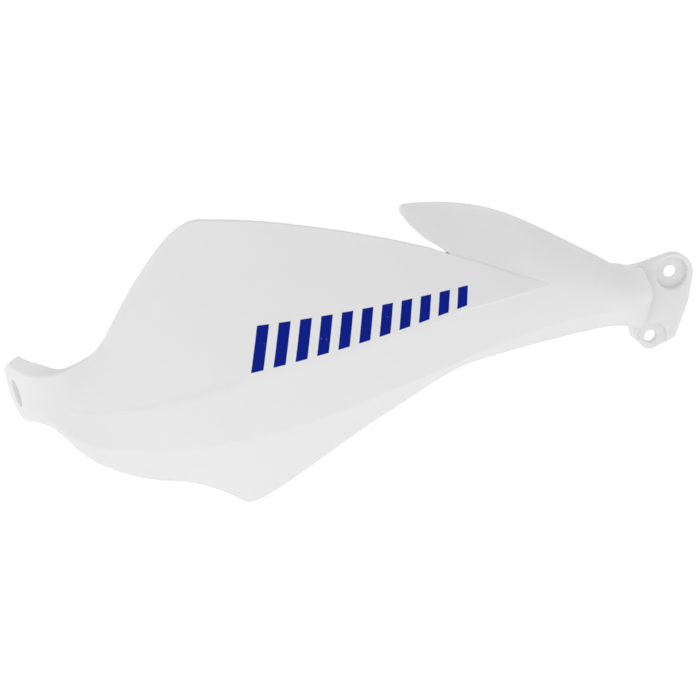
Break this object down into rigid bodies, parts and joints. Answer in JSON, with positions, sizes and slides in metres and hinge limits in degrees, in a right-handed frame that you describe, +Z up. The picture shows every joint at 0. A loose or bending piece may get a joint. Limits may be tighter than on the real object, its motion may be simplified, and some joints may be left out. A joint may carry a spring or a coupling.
{
  "type": "motorcycle hand guard",
  "caption": "Curved white plastic shell that bolts to a handlebar's end and to a clamp inboard of the grip, with a wide wind shield and an upswept fin.",
  "frame": {"origin": "on the axis of the bar-end bore, inside the end plate", "axes": "+X runs inboard along the handlebar, from the bar end to the clamp; -Y points forward, away from the rider; +Z points up"},
  "size_m": [0.347, 0.1013, 0.1476],
  "materials": {
    "shell": "satin white"
  },
  "bodies": {
    "root": {"hand_guard": "shell"}
  },
  "joints": []
}
